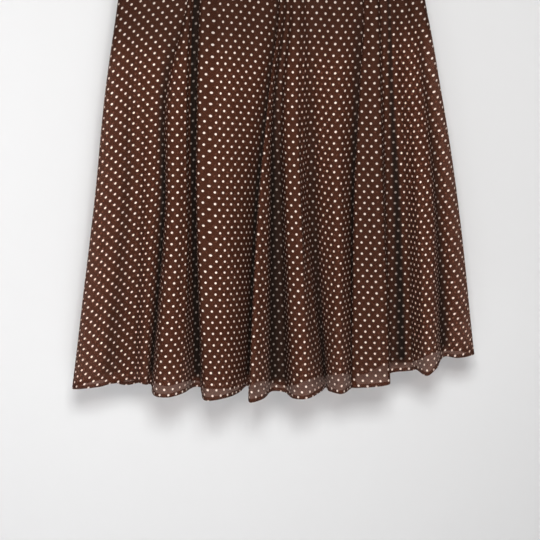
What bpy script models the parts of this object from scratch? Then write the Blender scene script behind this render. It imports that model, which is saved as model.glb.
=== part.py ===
"""Wrap skirt of spotted chiffon, hanging in soft flutes from a plain clip hanger.

Metres, +Z up, the front faces -Y. The origin is the inner top of the hanger's hook, where a
rail or a peg would carry it. The skirt is a flared shell of nine gores: a back of four, an
under front of two, and an over front of three whose free edge wraps over the under front. Each
gore is a thin wall through plan curves, and each plan curve runs through the fold lines of the
tables below, which stand further off the flat front or back the lower they come.
"""
import math
from collections import namedtuple

import bmesh
import bpy
from mathutils import Vector

MM = 0.001

# --- the skirt as a whole -------------------------------------------------------------------
CLOTH = 1.0 * MM            # wall of every cloth piece but the waistband
SEAM_GAP = 0.44 * MM        # pieces stand this far apart at a seam
BAND_TOP = -95 * MM         # top edge of the waistband, below the hook
BAND_HEIGHT = 30 * MM
BAND_WALL = 1.6 * MM
SHELL_TOP = BAND_TOP - BAND_HEIGHT - SEAM_GAP
SHELL_LENGTH = 770 * MM     # waistband to hem, at the left side

FRONT_AT_WAIST = -6.2 * MM  # y of the flat front where it leaves the waistband
FRONT_AT_HEM = -1 * MM      # y of the front's valleys at the hem
BACK_AT_WAIST = 6.2 * MM
BACK_AT_HEM = 35 * MM
SIDE_AT_WAIST = 0 * MM      # y of the two side seams
SIDE_AT_HEM = 11 * MM
TUCK_AT_WAIST = 2.5 * MM    # the under front lies this far behind the over front
TUCK_AT_HEM = 4 * MM
ALWAYS = 9                  # a fold line that stays tucked behind the over front to the hem
FOLD_GROWTH = 0.75          # folds open quickly at first and evenly further down
FOLD_EASE = 0.12            # softens the place where a fold begins
BACK_GROWTH = 0.8           # the back moves away from the front quickly at first
ONE_POINT = 0.01 * MM       # points closer than this count as one

# heights at which the tables give the place of a fold line: 0 is the waistband, 1 the hem
HEIGHTS = (0.0, 0.29, 0.455, 0.665, 1.0)

# One row for each fold line. waist, hip, thigh, knee and hem are its distances from the centre
# line at those five heights, lift is how far it stands off the valleys at the hem, start is the
# height where the fold begins, rise is how much higher than SHELL_LENGTH its hem hangs, and
# tuck is the height down to which it lies behind the over front. Sizes in millimetres.
Fold = namedtuple("Fold", "name waist hip thigh knee hem lift start rise tuck")

UNDER_FRONT = (
    Fold("side_left",      -170, -204, -225, -245, -283,  0, 0.00,  -4,      0),
    Fold("side_flute",     -162, -195, -215, -236, -272,  8, 0.10,   1,      0),
    Fold("side_hollow",    -149, -179, -190, -197, -227,  6, 0.30,   6,      0),
    Fold("side_valley",    -142, -171, -177, -184, -201,  0, 0.50,  12,      0),
    Fold("small_flute",    -131, -157, -161, -164, -176, 22, 0.45,  12,      0),
    Fold("seam_valley",     -92, -112, -144, -148, -170,  0, 0.28,   6,   0.25),
    Fold("panel_left",      -86, -110, -135, -140, -159, 60, 0.30,   7,   0.25),
    Fold("panel_middle",    -80, -108, -124, -126, -141, 66, 0.25,   7,   0.25),
    Fold("panel_right",     -74, -106, -113, -114, -120, 48, 0.22,   8,   0.25),
    Fold("panel_turn",      -68, -104, -111, -112, -112, 18, 0.22,   5,   0.25),
    Fold("wrap_valley",     -62, -101, -106, -107, -104,  0, 0.22,   2,   0.25),
    Fold("underlap",        -54,  -90,  -94,  -94,  -87,  0, 0.00,  -2, ALWAYS),
    Fold("under_edge",      -40,  -61,  -63,  -64,  -49,  0, 0.00,  -2, ALWAYS),
)
OVER_FRONT = (
    Fold("wrap_edge",       -84,  -95, -100, -102,  -98, 14, 0.05,   3,      0),
    Fold("wrap_left",       -78,  -90,  -94,  -96,  -87, 78, 0.05,   6,      0),
    Fold("wrap_middle",     -53,  -64,  -70,  -74,  -63, 70, 0.10,   7,      0),
    Fold("wrap_right",       -6,   -4,  -20,  -37,  -45, 40, 0.20,   5,      0),
    Fold("centre_valley",     3,   10,   -3,  -19,  -31,  0, 0.20,   5,      0),
    Fold("strip_left",        9,   14,   -1,  -15,  -27, 80, 0.20,   4,      0),
    Fold("strip_right",      14,   18,    3,   -3,   -9, 62, 0.20,   4,      0),
    Fold("dip_left",         19,   22,    7,    3,    4, 26, 0.20,   4,      0),
    Fold("dip_right",        24,   26,   15,   15,   20, 22, 0.20,   1,      0),
    Fold("lobe_left",        30,   32,   23,   24,   33, 62, 0.20,   4,      0),
    Fold("lobe_middle",      36,   39,   36,   41,   50, 70, 0.20,   6,      0),
    Fold("lobe_right",       41,   46,   45,   45,   71, 40, 0.30,   7,      0),
    Fold("lobe_valley",      47,   54,   56,   60,   80,  0, 0.30,   1,      0),
    Fold("soft_left",        56,   65,   67,   73,   83, 30, 0.30,   5,      0),
    Fold("soft_middle",      74,   87,   88,   91,   99, 50, 0.20,   7,      0),
    Fold("thin_valley",      97,  122,  120,  116,  122,  0, 0.20,   5,      0),
    Fold("flat_left",       104,  127,  122,  116,  115, 40, 0.20,  13,      0),
    Fold("flat_middle",     111,  133,  132,  135,  139, 48, 0.20,  16,      0),
    Fold("flat_right",      118,  141,  147,  153,  165, 48, 0.15,  20,      0),
    Fold("deep_left",       123,  148,  155,  161,  170,  4, 0.10,  23,      0),
    Fold("deep_valley",     132,  159,  165,  176,  189,  0, 0.10,  25,      0),
    Fold("deep_right",      137,  164,  173,  187,  200,  4, 0.10,  27,      0),
    Fold("last_left",       142,  170,  181,  194,  205, 22, 0.10,  34,      0),
    Fold("last_middle",     149,  179,  192,  204,  219, 52, 0.20,  34,      0),
    Fold("last_right",      156,  188,  203,  220,  230, 48, 0.30,  42,      0),
    Fold("last_valley",     161,  194,  211,  230,  248,  0, 0.40,  47,      0),
    Fold("side_soft",       166,  200,  221,  243,  264, 12, 0.30,  48,      0),
    Fold("side_right",      171,  206,  230,  258,  291,  0, 0.00,  47,      0),
)
BACK = (
    Fold("side_left",      -170, -204, -225, -245, -283,  0, 0.00,  -4,      0),
    Fold("back_1",         -152, -182, -198, -212, -243, 24, 0.10,  -6,      0),
    Fold("valley_1",       -130, -155, -164, -178, -208,  2, 0.35,  -7,      0),
    Fold("back_2",         -112, -133, -142, -154, -180, 26, 0.20,  -8,      0),
    Fold("seam_left",       -91, -108, -116, -127, -150,  0, 0.20,  -8,      0),
    Fold("back_3",          -70,  -83,  -88,  -98, -118, 30, 0.15,  -9,      0),
    Fold("back_4",          -44,  -52,  -54,  -62,  -76, 24, 0.15, -10,      0),
    Fold("valley_2",        -19,  -24,  -26,  -30,  -42,  2, 0.30, -10,      0),
    Fold("back_5",            2,    2,    1,   -3,   -8, 30, 0.20,  -9,      0),
    Fold("seam_middle",      20,   24,   26,   25,   26,  0, 0.25,  -8,      0),
    Fold("back_6",           42,   50,   53,   55,   62, 28, 0.15,  -5,      0),
    Fold("back_7",           66,   78,   84,   90,   98, 24, 0.20,   3,      0),
    Fold("seam_right",       91,  106,  114,  122,  134,  0, 0.20,  10,      0),
    Fold("back_8",          112,  133,  142,  155,  172, 28, 0.15,  19,      0),
    Fold("valley_3",        130,  156,  166,  182,  206,  2, 0.35,  28,      0),
    Fold("back_9",          152,  183,  201,  220,  246, 24, 0.10,  38,      0),
    Fold("side_right",      171,  206,  230,  258,  291,  0, 0.00,  47,      0),
)

# --- gores: from one seam or free edge to the next -------------------------------------------
# first and last are counted in fold lines; half a step puts a seam on a flute's flank, beside
# the valley that hides it
Gore = namedtuple("Gore", "name side first last")
GORES = (
    Gore("under_front_side", "under", 0, 5.5),
    Gore("under_front_centre", "under", 5.5, 12),
    Gore("over_front_wrap", "over", 0, 4.5),
    Gore("over_front_centre", "over", 4.5, 15.5),
    Gore("over_front_side", "over", 15.5, 27),
    Gore("back_side_left", "back", 0, 4.5),
    Gore("back_centre_left", "back", 4.5, 9.5),
    Gore("back_centre_right", "back", 9.5, 12.5),
    Gore("back_side_right", "back", 12.5, 16),
)
FRONT_STEPS = 3             # wall faces between two fold lines of the front
BACK_STEPS = 3
FRONT_ROWS = 14             # wall faces from the waistband to the hem
BACK_ROWS = 10
NEAR_SEAM = 0.12            # the first wall face beside a seam, as a share of the others

# --- lining: a short plain tube inside ---------------------------------------------------------
LINING_TOP = 0.004          # heights, as in HEIGHTS
LINING_CENTRE = 0.40
LINING_SIDE = 0.365         # its hem curves up towards the sides
LINING_INSET = 16 * MM      # narrower than the shell at each side
LINING_BEHIND = (1.6 * MM, 2.5 * MM)  # top and hem: behind the under front, and before the back
LINING_TURN_FACES = 5
LINING_ROWS = 5

# --- waistband and button ------------------------------------------------------------------------
BAND_HALF_WIDTH = 170 * MM
BAND_TURN_FACES = 10
BAND_UNDER_END = -40 * MM   # the strip's two ends, and where the under end steps back
BAND_UNDER_START = -76 * MM
BAND_STEP_END = -100 * MM
BAND_OVER_END = -86 * MM
BAND_UNDER_EASE = 0.2 * MM  # how much further in than the under front its under end lies
BUTTON_RADIUS = 9 * MM
BUTTON_THICKNESS = 3.2 * MM
BUTTON_X = -70 * MM
BUTTON_FACES = 28
Ring = namedtuple("Ring", "radius height")     # shares of the button's radius and thickness
BUTTON_RINGS = (
    Ring(0.00, 0.62),       # the sunk middle
    Ring(0.55, 0.62),
    Ring(0.72, 1.00),       # the raised rim
    Ring(0.90, 1.00),
    Ring(1.00, 0.70),
    Ring(1.00, 0.25),
    Ring(0.85, 0.00),       # the underside
    Ring(0.00, 0.00),
)

# --- hanger ----------------------------------------------------------------------------------------
BAR_RADIUS = 4 * MM
BAR_LENGTH = 372 * MM
BAR_Z = -62 * MM
BAR_Y = 0.0
BAR_FACES = 24
BAR_ROUNDING = 1 * MM       # at the bar's two ends
CLIP_X = 128 * MM
CLIP_WIDTH = 26 * MM
CLIP_STEEL = 1.6 * MM
CLIP_FOOT = -122 * MM       # lowest edge of the clip's jaws
CLIP_BEND = -98 * MM        # the jaws run straight up to here and then lean in to the bar
CLIP_ARCH = range(180, -1, -20)                # degrees round the bar, from front to back
HOOK_WIRE = 2 * MM          # radius
HOOK_BOW = 18 * MM          # radius of the bow, at the middle of the wire
HOOK_ANGLES = range(-50, 196, 15)              # degrees round the bow, from its stem to its end
HOOK_STEM = 9 * MM          # straight part above the bar
HOOK_BEND = (3.5 * MM, 16 * MM)                # how far aside and up the stem then leads
FIT_GAP = 0.3 * MM          # between pieces that touch

SKIRT_COLOURS = {
    "under": (0.062, 0.030, 0.021, 1), "over": (0.068, 0.033, 0.023, 1),
    "back": (0.050, 0.025, 0.018, 1),
}
BAND_COLOUR = (0.040, 0.019, 0.013, 1)
LINING_COLOUR = (0.030, 0.016, 0.012, 1)
BUTTON_COLOUR = (0.055, 0.028, 0.018, 1)
STEEL_COLOUR = (0.60, 0.60, 0.62, 1)


# --- small tools -------------------------------------------------------------------------------------
def clear_scene():
    for thing in list(bpy.data.objects):
        bpy.data.objects.remove(thing, do_unlink=True)


def make_material(name, colour, roughness, metallic=0.0):
    material = bpy.data.materials.new(name)
    material.use_nodes = True
    shader = material.node_tree.nodes["Principled BSDF"]
    shader.inputs["Base Color"].default_value = colour
    shader.inputs["Roughness"].default_value = roughness
    shader.inputs["Metallic"].default_value = metallic
    material.diffuse_color = colour
    return material


def add_object(name, data, collection, material):
    thing = bpy.data.objects.new(name, data)
    data.materials.append(material)
    collection.objects.link(thing)
    return thing


def lerp(start, end, share):
    return start + (end - start) * share


def hermite(start, end, leaving, arriving, share):
    """A cubic from start to end, for numbers and vectors alike; the slopes are per whole step."""
    rest = 1 - share
    return (start * (rest * rest * (1 + 2 * share)) + end * (share * share * (3 - 2 * share))
            + (leaving * rest - arriving * share) * (share * rest))


def through_heights(values, height):
    """A smooth curve through one value for each of HEIGHTS."""
    last = len(HEIGHTS) - 1
    step = max(k for k in range(last) if HEIGHTS[k] <= height)
    span = HEIGHTS[step + 1] - HEIGHTS[step]

    def slope(k):
        low, high = max(k - 1, 0), min(k + 1, last)
        return (values[high] - values[low]) / (HEIGHTS[high] - HEIGHTS[low]) * span

    share = (height - HEIGHTS[step]) / span
    return hermite(values[step], values[step + 1], slope(step), slope(step + 1), share)


def on_curve(points, place):
    """A point of the centripetal Catmull-Rom curve through points[1:-1], place counted in them."""
    step = min(int(place), len(points) - 4)
    before, start, end, after = points[step:step + 4]
    first, middle, last = (max((b - a).length, ONE_POINT) ** 0.5
                           for a, b in ((before, start), (start, end), (end, after)))
    across = (end - start) / middle
    leaving = (start - before) / first - (end - before) / (first + middle) + across
    arriving = across - (after - start) / (middle + last) + (after - end) / last
    return hermite(start, end, leaving * middle, arriving * middle, place - step)


def solid_from(rows, name, collection, material, wall=CLOTH):
    """A sheet through rows of points, thickened to both sides of them."""
    sheet = bmesh.new()
    grid = [[sheet.verts.new(point) for point in row] for row in rows]
    for upper, lower in zip(grid, grid[1:]):
        for k in range(len(upper) - 1):
            sheet.faces.new((upper[k], lower[k], lower[k + 1], upper[k + 1]))
    bmesh.ops.recalc_face_normals(sheet, faces=sheet.faces)
    mesh = bpy.data.meshes.new(name)
    sheet.to_mesh(mesh)
    sheet.free()
    mesh.shade_smooth()
    piece = add_object(name, mesh, collection, material)
    solidify = piece.modifiers.new("wall", "SOLIDIFY")
    solidify.thickness = wall
    solidify.offset = 0
    return piece


# --- the plan curves --------------------------------------------------------------------------------
def front_plane(height):
    return lerp(FRONT_AT_WAIST, FRONT_AT_HEM, height)


def back_plane(height):
    return lerp(BACK_AT_WAIST, BACK_AT_HEM, height ** BACK_GROWTH)


def opening(share):
    """How far a fold has opened, from 0 at its start to 1 at the hem, with a soft beginning."""
    growth = share ** FOLD_GROWTH
    return growth * growth * (1 + FOLD_EASE) / (growth + FOLD_EASE)


def tuck_behind(fold, height):
    """How far a fold line of the under front lies behind the over front's valleys."""
    if not fold.tuck:
        return 0.0
    whole = lerp(TUCK_AT_WAIST, TUCK_AT_HEM, height)
    if fold.tuck == ALWAYS:
        return whole
    return whole * max(0.0, 1 - height / fold.tuck)


def fold_point(fold, height, side):
    x = through_heights((fold.waist, fold.hip, fold.thigh, fold.knee, fold.hem), height) * MM
    z = SHELL_TOP - (SHELL_LENGTH - fold.rise * MM) * height
    if fold.name in ("side_left", "side_right"):
        return Vector((x, lerp(SIDE_AT_WAIST, SIDE_AT_HEM, height), z))
    lift = fold.lift * MM * opening(max(0.0, height - fold.start) / (1 - fold.start))
    if side == "back":
        return Vector((x, back_plane(height) + lift, z))
    return Vector((x, front_plane(height) - lift + tuck_behind(fold, height), z))


def plan_points(side, height):
    """The fold points of one layer from left to right, with one more beyond each end."""
    under = [fold_point(fold, height, "under") for fold in UNDER_FRONT]
    over = [fold_point(fold, height, "over") for fold in OVER_FRONT]
    back = [fold_point(fold, height, "back") for fold in BACK]
    if side == "back":
        return [under[1]] + back + [over[-2]]
    if side == "under":
        return [back[1]] + under + [2 * under[-1] - under[-2]]
    return [2 * over[0] - over[1]] + over + [back[-2]]


def trimmed(points):
    """Both ends of a row drawn in by half a seam's gap."""
    first, second, before_last, last = points[0], points[1], points[-2], points[-1]
    inset = SEAM_GAP / 2
    return [first + (second - first).normalized() * inset, *points[1:-1],
            last + (before_last - last).normalized() * inset]


def places_between(first, last, steps):
    """Places along a layer: its gore's two ends and every step between them.

    Where a gore ends with its layer, at a side seam, the wall turns, so it gets a narrow face.
    """
    inner = [k / steps for k in range(math.ceil(first * steps), math.floor(last * steps) + 1)]
    near = NEAR_SEAM / steps
    inner = [place for place in inner if first + near < place < last - near]
    left = [first + near] if first == int(first) else []
    right = [last - near] if last == int(last) else []
    return [first, *left, *inner, *right, last]


def build_gores(collection):
    for gore in GORES:
        back = gore.side == "back"
        places = places_between(gore.first, gore.last, BACK_STEPS if back else FRONT_STEPS)
        count = BACK_ROWS if back else FRONT_ROWS
        rows = []
        for k in range(count + 1):
            points = plan_points(gore.side, k / count)
            rows.append(trimmed([on_curve(points, place) for place in places]))
        material = make_material(gore.name, SKIRT_COLOURS[gore.side], 0.8)
        solid_from(rows, gore.name, collection, material)


# --- lining, waistband and button ------------------------------------------------------------------
def lining_row(share, front):
    """One level of the lining's front or back: a flat run between two quarter turns."""
    side = OVER_FRONT[-1]
    widths = (side.waist, side.hip, side.thigh, side.knee, side.hem)
    quarter = [math.pi / 2 * k / LINING_TURN_FACES for k in range(LINING_TURN_FACES + 1)]
    turns = [(-1, angle) for angle in quarter] + [(0, 0)] + [(1, angle) for angle in quarter[::-1]]
    row = []
    for end, angle in turns:
        height = lerp(LINING_TOP, LINING_SIDE if end else LINING_CENTRE, share)
        away = lerp(*LINING_BEHIND, share)
        before = front_plane(height) + lerp(TUCK_AT_WAIST, TUCK_AT_HEM, height) + away
        behind = back_plane(height) - away
        radius = (behind - before) / 2
        turn = through_heights(widths, height) * MM - LINING_INSET - radius
        x = end * (turn + radius * math.cos(angle)) if end else 0.0
        depth = radius * math.sin(angle) if end else radius
        y = (before + behind) / 2 + (-depth if front else depth)
        row.append(Vector((x, y, SHELL_TOP - SHELL_LENGTH * height)))
    return trimmed(row)


def build_lining(collection):
    for name, front in (("lining_front", True), ("lining_back", False)):
        rows = [lining_row(k / LINING_ROWS, front) for k in range(LINING_ROWS + 1)]
        solid_from(rows, name, collection, make_material(name, LINING_COLOUR, 0.5))


def build_waistband(collection):
    """One long strip: from the under end, left round the back, and over the front to its end."""
    radius = (BACK_AT_WAIST - FRONT_AT_WAIST) / 2
    middle = FRONT_AT_WAIST + radius
    under = FRONT_AT_WAIST + TUCK_AT_WAIST + BAND_UNDER_EASE
    turn = BAND_HALF_WIDTH - radius
    bow = [math.pi * k / BAND_TURN_FACES for k in range(BAND_TURN_FACES + 1)]
    line = [(BAND_UNDER_END, under), (BAND_UNDER_START, under), (BAND_STEP_END, FRONT_AT_WAIST)]
    line += [(-turn - radius * math.sin(a), middle - radius * math.cos(a)) for a in bow]
    line += [(turn + radius * math.sin(a), middle + radius * math.cos(a)) for a in bow]
    line += [(BAND_OVER_END, FRONT_AT_WAIST)]
    rows = [[Vector((x, y, z)) for x, y in line] for z in (BAND_TOP, BAND_TOP - BAND_HEIGHT)]
    material = make_material("waistband", BAND_COLOUR, 0.8)
    solid_from(rows, "waistband", collection, material, BAND_WALL)


def build_button(collection):
    """A turned button with a raised rim, lying on the over end of the waistband."""
    outline = bpy.data.meshes.new("button")
    corners = [(ring.radius * BUTTON_RADIUS, 0, ring.height * BUTTON_THICKNESS)
               for ring in BUTTON_RINGS]
    outline.from_pydata(corners, [(k, k + 1) for k in range(len(corners) - 1)], [])
    button = add_object("button", outline, collection,
                        make_material("button", BUTTON_COLOUR, 0.35))
    screw = button.modifiers.new("turned", "SCREW")
    screw.steps = BUTTON_FACES
    screw.render_steps = BUTTON_FACES
    screw.use_merge_vertices = True
    screw.merge_threshold = ONE_POINT
    face = FRONT_AT_WAIST - BAND_WALL / 2 - FIT_GAP
    button.location = (BUTTON_X, face, BAND_TOP - BAND_HEIGHT / 2)
    button.rotation_euler = (math.radians(90), 0, 0)


# --- hanger ---------------------------------------------------------------------------------------------
def build_bar(collection, steel):
    bpy.ops.mesh.primitive_cylinder_add(vertices=BAR_FACES, radius=BAR_RADIUS, depth=BAR_LENGTH,
                                        location=(0, BAR_Y, BAR_Z),
                                        rotation=(0, math.radians(90), 0))
    bar = bpy.context.active_object
    bar.name = bar.data.name = "hanger_bar"
    bar.data.materials.append(steel)
    for owner in list(bar.users_collection):
        owner.objects.unlink(bar)
    collection.objects.link(bar)
    rounded = bar.modifiers.new("rounded", "BEVEL")
    rounded.width = BAR_ROUNDING
    rounded.segments = 2


def build_hook(collection, steel):
    """A stem out of the bar that bends aside and bows over the point where the hanger is held."""
    centre_z = HOOK_WIRE - HOOK_BOW
    bow = [math.radians(angle) for angle in HOOK_ANGLES]
    stem_foot = BAR_Z + BAR_RADIUS + FIT_GAP
    aside, up = HOOK_BEND
    route = [(0, stem_foot), (0, stem_foot + HOOK_STEM), (aside, stem_foot + up)]
    route += [(HOOK_BOW * math.cos(angle), centre_z + HOOK_BOW * math.sin(angle)) for angle in bow]
    curve = bpy.data.curves.new("hanger_hook", "CURVE")
    curve.dimensions = "3D"
    curve.bevel_depth = HOOK_WIRE
    curve.bevel_resolution = 3
    curve.use_fill_caps = True
    line = curve.splines.new("POLY")
    line.points.add(len(route) - 1)
    for point, (x, z) in zip(line.points, route):
        point.co = (x, BAR_Y, z, 1)
    add_object("hanger_hook", curve, collection, steel)


def build_clips(collection, steel):
    """Bent strips that sit over the bar and hold the waistband between their two jaws."""
    inside = BAR_RADIUS + FIT_GAP + CLIP_STEEL / 2
    front = FRONT_AT_WAIST - BAND_WALL / 2 - FIT_GAP - CLIP_STEEL / 2
    back = BACK_AT_WAIST + BAND_WALL / 2 + FIT_GAP + CLIP_STEEL / 2
    arch = [math.radians(angle) for angle in CLIP_ARCH]
    profile = [(front, CLIP_FOOT), (front, CLIP_BEND)]
    profile += [(BAR_Y + inside * math.cos(angle), BAR_Z + inside * math.sin(angle))
                for angle in arch]
    profile += [(back, CLIP_BEND), (back, CLIP_FOOT)]
    for name, x in (("clip_left", -CLIP_X), ("clip_right", CLIP_X)):
        rows = [[Vector((x + edge * CLIP_WIDTH / 2, y, z)) for y, z in profile]
                for edge in (-1, 1)]
        solid_from(rows, name, collection, steel, CLIP_STEEL)


def build():
    clear_scene()
    collection = bpy.data.collections.new("wrap_skirt_on_hanger")
    bpy.context.scene.collection.children.link(collection)
    build_gores(collection)
    build_lining(collection)
    build_waistband(collection)
    build_button(collection)
    steel = make_material("hanger_steel", STEEL_COLOUR, 0.3, 1.0)
    build_bar(collection, steel)
    build_hook(collection, steel)
    build_clips(collection, steel)


build()
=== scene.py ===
"""Looks of a wrap skirt of sheer spotted chiffon that hangs in flutes from a plain clip hanger.

Metres, +Z up, the front faces -Y, and the origin is the inner top of the hanger's hook. Each
gore is a thin shell on the form of its solid: a plan curve through fold lines, worked out at
every level from the waistband to the hem, with creases, turned hems and seams added. The spots
are laid out in the cloth's own coordinates, so they follow every fold.
"""
import math
from collections import namedtuple

import bmesh
import bpy
import numpy as np
from bpy.props import FloatProperty, FloatVectorProperty, IntProperty, PointerProperty
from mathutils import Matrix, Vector, noise


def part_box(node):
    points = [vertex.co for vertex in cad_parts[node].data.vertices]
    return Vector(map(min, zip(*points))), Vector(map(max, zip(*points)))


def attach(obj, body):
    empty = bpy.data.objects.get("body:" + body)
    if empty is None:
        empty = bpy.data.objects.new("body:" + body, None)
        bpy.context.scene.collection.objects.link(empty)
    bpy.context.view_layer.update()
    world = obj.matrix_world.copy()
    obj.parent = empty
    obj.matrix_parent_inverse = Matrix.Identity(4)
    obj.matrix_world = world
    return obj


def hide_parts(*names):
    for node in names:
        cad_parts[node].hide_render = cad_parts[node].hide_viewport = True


bl_info = {
    "name": "Wrap skirt on a clip hanger",
    "version": (1, 0, 0),
    "blender": (4, 5, 0),
    "location": "View3D > Sidebar > Skirt",
    "description": "Dresses the packed solids of a wrap skirt with cloth, stitching and steel",
    "category": "Object",
}

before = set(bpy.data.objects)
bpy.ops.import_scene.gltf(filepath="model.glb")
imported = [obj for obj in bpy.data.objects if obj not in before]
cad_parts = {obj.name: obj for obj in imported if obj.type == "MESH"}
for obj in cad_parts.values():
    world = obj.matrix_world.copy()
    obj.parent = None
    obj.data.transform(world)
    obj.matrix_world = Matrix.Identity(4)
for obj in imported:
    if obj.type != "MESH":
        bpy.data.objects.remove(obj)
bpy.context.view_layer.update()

BODY = "root"
MM = 0.001

# --- the skirt's form, the same as that of its solids ---
BAND_TOP = -95 * MM
BAND_HEIGHT = 30 * MM
BAND_WALL = 1.6 * MM
SEAM_GAP = 0.44 * MM
SHELL_TOP = BAND_TOP - BAND_HEIGHT - SEAM_GAP
SHELL_LENGTH = 770 * MM
FRONT_AT_WAIST, FRONT_AT_HEM = -6.2 * MM, -1 * MM
BACK_AT_WAIST, BACK_AT_HEM = 6.2 * MM, 35 * MM
SIDE_AT_WAIST, SIDE_AT_HEM = 0 * MM, 11 * MM
TUCK_AT_WAIST, TUCK_AT_HEM = 2.5 * MM, 4 * MM
ALWAYS = 9                  # a fold line that stays tucked behind the over front to the hem
BACK_GROWTH, FOLD_GROWTH = 0.8, 0.75    # powers by which the back and the folds move outward
FOLD_EASE = 0.12            # how softly a fold begins
SHORTEST = 0.01 * MM        # what a step between two fold points counts at least
HEIGHTS = (0.0, 0.29, 0.455, 0.665, 1.0)    # 0 is the waistband, 1 the hem

# One row for each fold line: its distance from the centre line at the five heights, how far it
# stands off the valleys at the hem, the height where the fold begins, how much higher than
# SHELL_LENGTH its hem hangs, how far down it is tucked behind the over front, and how much shade
# is painted on it at SHADE_HEIGHTS, from 0 on a flute to 1 in a valley, and below 0 where more
# light comes through. Sizes in millimetres.
SHADE_HEIGHTS = (0.30, 0.60, 0.95)
Fold = namedtuple("Fold", "name waist hip thigh knee hem lift start rise tuck shade")
UNDER_FRONT = (
    Fold("side_left",      -170, -204, -225, -245, -283,  0, 0.00,  -4,      0, (-0.20, -0.30, -0.30)),
    Fold("side_flute",     -162, -195, -215, -236, -272,  8, 0.10,   1,      0, (-0.20, -0.30, -0.30)),
    Fold("side_hollow",    -149, -179, -190, -197, -227,  6, 0.30,   6,      0, (0.00, 0.35, 0.45)),
    Fold("side_valley",    -142, -171, -177, -184, -201,  0, 0.50,  12,      0, (0.00, 0.05, 0.20)),
    Fold("small_flute",    -131, -157, -161, -164, -176, 22, 0.45,  12,      0, (0.00, 0.00, 0.05)),
    Fold("seam_valley",     -92, -112, -144, -148, -170,  0, 0.28,   6,   0.25, (0.45, 1.00, 1.00)),
    Fold("panel_left",      -86, -110, -135, -140, -159, 60, 0.30,   7,   0.25, (0.00, 0.05, 0.05)),
    Fold("panel_middle",    -80, -108, -124, -126, -141, 66, 0.25,   7,   0.25, (0.00, 0.00, 0.00)),
    Fold("panel_right",     -74, -106, -113, -114, -120, 48, 0.22,   8,   0.25, (0.00, 0.00, 0.00)),
    Fold("panel_turn",      -68, -104, -111, -112, -112, 18, 0.22,   5,   0.25, (0.10, 0.15, 0.25)),
    Fold("wrap_valley",     -62, -101, -106, -107, -104,  0, 0.22,   2,   0.25, (1.00, 1.00, 1.00)),
    Fold("underlap",        -54,  -90,  -94,  -94,  -87,  0, 0.00,  -2, ALWAYS, (0.90, 0.90, 0.90)),
    Fold("under_edge",      -40,  -61,  -63,  -64,  -49,  0, 0.00,  -2, ALWAYS, (0.40, 0.40, 0.40)),
)
OVER_FRONT = (
    Fold("wrap_edge",       -84,  -95, -100, -102,  -98, 14, 0.05,   3,      0, (1.00, 1.00, 1.00)),
    Fold("wrap_left",       -78,  -90,  -94,  -96,  -87, 78, 0.05,   6,      0, (0.15, 0.10, 0.10)),
    Fold("wrap_middle",     -53,  -64,  -70,  -74,  -63, 70, 0.10,   7,      0, (0.00, 0.00, 0.00)),
    Fold("wrap_right",       -6,   -4,  -20,  -37,  -45, 40, 0.20,   5,      0, (0.10, 0.15, 0.10)),
    Fold("centre_valley",     3,   10,   -3,  -19,  -31,  0, 0.20,   5,      0, (0.70, 1.00, 1.00)),
    Fold("strip_left",        9,   14,   -1,  -15,  -27, 80, 0.20,   4,      0, (0.10, 0.10, 0.10)),
    Fold("strip_right",      14,   18,    3,   -3,   -9, 62, 0.20,   4,      0, (0.10, 0.10, 0.10)),
    Fold("dip_left",         19,   22,    7,    3,    4, 26, 0.20,   4,      0, (0.60, 1.00, 0.95)),
    Fold("dip_right",        24,   26,   15,   15,   20, 22, 0.20,   1,      0, (0.10, 0.85, 0.85)),
    Fold("lobe_left",        30,   32,   23,   24,   33, 62, 0.20,   4,      0, (0.00, 0.10, 0.20)),
    Fold("lobe_middle",      36,   39,   36,   41,   50, 70, 0.20,   6,      0, (0.05, 0.10, 0.05)),
    Fold("lobe_right",       41,   46,   45,   45,   71, 40, 0.30,   7,      0, (0.00, 0.15, 0.35)),
    Fold("lobe_valley",      47,   54,   56,   60,   80,  0, 0.30,   1,      0, (0.20, 0.70, 1.00)),
    Fold("soft_left",        56,   65,   67,   73,   83, 30, 0.30,   5,      0, (0.00, 0.05, 0.15)),
    Fold("soft_middle",      74,   87,   88,   91,   99, 50, 0.20,   7,      0, (0.05, 0.08, 0.05)),
    Fold("thin_valley",      97,  122,  120,  116,  122,  0, 0.20,   5,      0, (0.60, 1.00, 1.00)),
    Fold("flat_left",       104,  127,  122,  116,  115, 40, 0.20,  13,      0, (0.30, 0.32, 0.26)),
    Fold("flat_middle",     111,  133,  132,  135,  139, 48, 0.20,  16,      0, (0.28, 0.30, 0.22)),
    Fold("flat_right",      118,  141,  147,  153,  165, 48, 0.15,  20,      0, (0.28, 0.30, 0.26)),
    Fold("deep_left",       123,  148,  155,  161,  170,  4, 0.10,  23,      0, (0.00, 0.40, 0.60)),
    Fold("deep_valley",     132,  159,  165,  176,  189,  0, 0.10,  25,      0, (0.80, 0.95, 1.00)),
    Fold("deep_right",      137,  164,  173,  187,  200,  4, 0.10,  27,      0, (-0.10, 0.05, 0.35)),
    Fold("last_left",       142,  170,  181,  194,  205, 22, 0.10,  34,      0, (-0.25, -0.25, -0.05)),
    Fold("last_middle",     149,  179,  192,  204,  219, 52, 0.20,  34,      0, (-0.25, -0.25, -0.05)),
    Fold("last_right",      156,  188,  203,  220,  230, 48, 0.30,  42,      0, (-0.25, -0.25, -0.05)),
    Fold("last_valley",     161,  194,  211,  230,  248,  0, 0.40,  47,      0, (0.25, 0.60, 0.90)),
    Fold("side_soft",       166,  200,  221,  243,  264, 12, 0.30,  48,      0, (-0.20, -0.30, -0.30)),
    Fold("side_right",      171,  206,  230,  258,  291,  0, 0.00,  47,      0, (-0.20, -0.30, -0.30)),
)
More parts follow.
